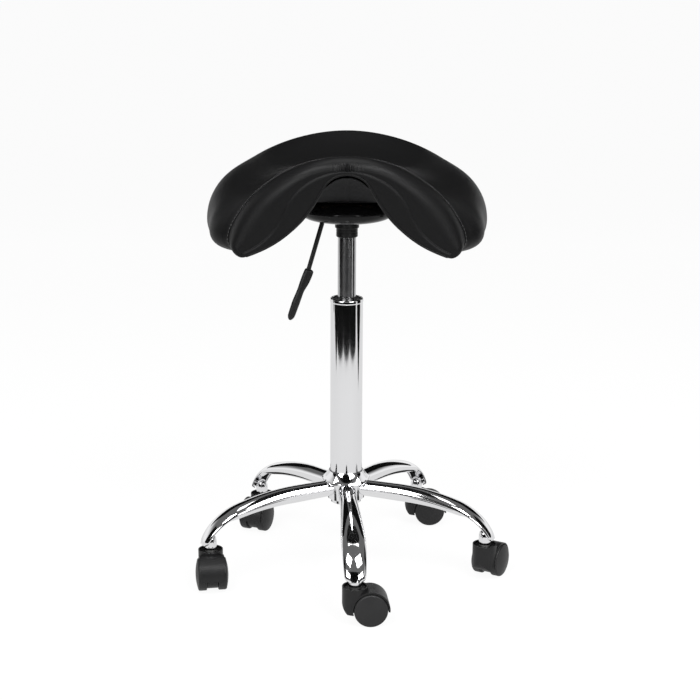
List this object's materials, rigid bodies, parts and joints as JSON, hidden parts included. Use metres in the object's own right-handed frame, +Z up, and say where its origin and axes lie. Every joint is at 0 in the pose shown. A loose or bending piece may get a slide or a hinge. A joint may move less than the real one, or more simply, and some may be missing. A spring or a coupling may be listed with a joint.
{
  "type": "saddle stool",
  "caption": "Saddle stool: padded saddle seat on a tilt-free plate, gas-lift column with release lever, chromed star base and hooded twin-wheel casters.",
  "frame": {"origin": "on the floor, on the column's axis", "axes": "+Z up, -Y towards the seat's pommel (front), -X towards the release lever"},
  "size_m": [0.4899, 0.4624, 0.6736],
  "materials": {
    "chrome": "polished",
    "steel": "satin",
    "black_nylon": "satin",
    "caster_wheel": "satin",
    "gloss_black": "gloss",
    "black_paint": "satin",
    "rubber": "matte",
    "leatherette": "satin grain",
    "foam": "open cell",
    "plywood": "bare",
    "cloth": "woven"
  },
  "bodies": {
    "base": {"hub_tube": "steel", "hub_cover": "chrome", "arm_1": "chrome", "arm_2": "chrome", "arm_3": "chrome", "arm_4": "chrome", "arm_5": "chrome", "caster_sleeves": "chrome", "column_tube": "chrome", "guide_bush": "black_nylon", "column_end_plate": "steel", "bearing_washers": "steel", "ball_cage": "steel", "rubber_buffer": "rubber", "clip_washer": "steel", "caster_stem_1": "steel", "caster_stem_2": "steel", "caster_stem_3": "steel", "caster_stem_4": "steel", "caster_stem_5": "steel"},
    "spindle": {"piston_rod": "steel", "piston": "black_nylon", "retaining_clip": "steel"},
    "seat_carriage": {"lift_cylinder": "steel", "cylinder_gland": "black_nylon", "socket_collar": "black_nylon", "taper_socket": "steel", "dish_cover": "gloss_black", "seat_plate": "black_paint", "lever_pivot_pin": "steel", "plate_bolts": "steel", "plate_nuts": "steel", "mounting_block": "plywood", "seat_shell": "plywood", "seat_foam": "foam", "seat_cover": "leatherette", "dust_cover": "cloth"},
    "lever": {"lever_rod": "black_paint", "lever_handle": "black_nylon"},
    "valve_pin": {"release_pin": "steel"},
    "caster_1": {"caster_hood_1": "black_nylon", "caster_axle_1": "steel"},
    "wheel_left_1": {"caster_wheel_left_1": "caster_wheel"},
    "wheel_right_1": {"caster_wheel_right_1": "caster_wheel"},
    "caster_2": {"caster_hood_2": "black_nylon", "caster_axle_2": "steel"},
    "wheel_left_2": {"caster_wheel_left_2": "caster_wheel"},
    "wheel_right_2": {"caster_wheel_right_2": "caster_wheel"},
    "caster_3": {"caster_hood_3": "black_nylon", "caster_axle_3": "steel"},
    "wheel_left_3": {"caster_wheel_left_3": "caster_wheel"},
    "wheel_right_3": {"caster_wheel_right_3": "caster_wheel"},
    "caster_4": {"caster_hood_4": "black_nylon", "caster_axle_4": "steel"},
    "wheel_left_4": {"caster_wheel_left_4": "caster_wheel"},
    "wheel_right_4": {"caster_wheel_right_4": "caster_wheel"},
    "caster_5": {"caster_hood_5": "black_nylon", "caster_axle_5": "steel"},
    "wheel_left_5": {"caster_wheel_left_5": "caster_wheel"},
    "wheel_right_5": {"caster_wheel_right_5": "caster_wheel"}
  },
  "joints": [
    {"name": "seat_swivel", "type": "hinge", "parent": "base", "child": "spindle", "pos_m": [0, 0, 0.1149], "axis": [0, 0, 1], "continuous": true},
    {"name": "height_slide", "type": "slide", "parent": "spindle", "child": "seat_carriage", "axis": [0, 0, 1], "range_m": [-0.08, 0.12]},
    {"name": "lever_pull", "type": "hinge", "parent": "seat_carriage", "child": "lever", "pos_m": [-0.0285, 0, 0.5846], "axis": [0, 1, 0], "range_deg": [0, 6], "stiffness_Nm_per_rad": 0.3, "springref_deg": -5.73},
    {"name": "release_pin_press", "type": "slide", "parent": "seat_carriage", "child": "valve_pin", "axis": [0, 0, -1], "range_m": [0, 0.003]},
    {"name": "caster_swivel_1", "type": "hinge", "parent": "base", "child": "caster_1", "pos_m": [0.01408, -0.22386, 0.045], "axis": [0, 0, 1], "continuous": true},
    {"name": "wheel_left_spin_1", "type": "hinge", "parent": "caster_1", "child": "wheel_left_1", "pos_m": [0.036, -0.22194, 0.025], "axis": [-0.0872, 0.9962, 0], "continuous": true},
    {"name": "wheel_right_spin_1", "type": "hinge", "parent": "caster_1", "child": "wheel_right_1", "pos_m": [0.036, -0.22194, 0.025], "axis": [-0.0872, 0.9962, 0], "continuous": true},
    {"name": "caster_swivel_2", "type": "hinge", "parent": "base", "child": "caster_2", "pos_m": [0.21725, -0.05578, 0.045], "axis": [0, 0, 1], "continuous": true},
    {"name": "wheel_left_spin_2", "type": "hinge", "parent": "caster_2", "child": "wheel_left_2", "pos_m": [0.22825, -0.03673, 0.025], "axis": [-0.866, 0.5, 0], "continuous": true},
    {"name": "wheel_right_spin_2", "type": "hinge", "parent": "caster_2", "child": "wheel_right_2", "pos_m": [0.22825, -0.03673, 0.025], "axis": [-0.866, 0.5, 0], "continuous": true},
    {"name": "caster_swivel_3", "type": "hinge", "parent": "base", "child": "caster_3", "pos_m": [0.12019, 0.18938, 0.045], "axis": [0, 0, 1], "continuous": true},
    {"name": "wheel_left_spin_3", "type": "hinge", "parent": "caster_3", "child": "wheel_left_3", "pos_m": [0.14217, 0.19015, 0.025], "axis": [-0.0349, 0.9994, 0], "continuous": true},
    {"name": "wheel_right_spin_3", "type": "hinge", "parent": "caster_3", "child": "wheel_right_3", "pos_m": [0.14217, 0.19015, 0.025], "axis": [-0.0349, 0.9994, 0], "continuous": true},
    {"name": "caster_swivel_4", "type": "hinge", "parent": "base", "child": "caster_4", "pos_m": [-0.14297, 0.17283, 0.045], "axis": [0, 0, 1], "continuous": true},
    {"name": "wheel_left_spin_4", "type": "hinge", "parent": "caster_4", "child": "wheel_left_4", "pos_m": [-0.15122, 0.15243, 0.025], "axis": [0.9272, -0.3746, 0], "continuous": true},
    {"name": "wheel_right_spin_4", "type": "hinge", "parent": "caster_4", "child": "wheel_right_4", "pos_m": [-0.15122, 0.15243, 0.025], "axis": [0.9272, -0.3746, 0], "continuous": true},
    {"name": "caster_swivel_5", "type": "hinge", "parent": "base", "child": "caster_5", "pos_m": [-0.20855, -0.08257, 0.045], "axis": [0, 0, 1], "continuous": true},
    {"name": "wheel_left_spin_5", "type": "hinge", "parent": "caster_5", "child": "wheel_left_5", "pos_m": [-0.20511, -0.1043, 0.025], "axis": [0.9877, 0.1564, 0], "continuous": true},
    {"name": "wheel_right_spin_5", "type": "hinge", "parent": "caster_5", "child": "wheel_right_5", "pos_m": [-0.20511, -0.1043, 0.025], "axis": [0.9877, 0.1564, 0], "continuous": true}
  ],
  "couplings": [
    {"joint": "release_pin_press", "follows": "lever_pull", "m_per_rad": 0.0285}
  ]
}
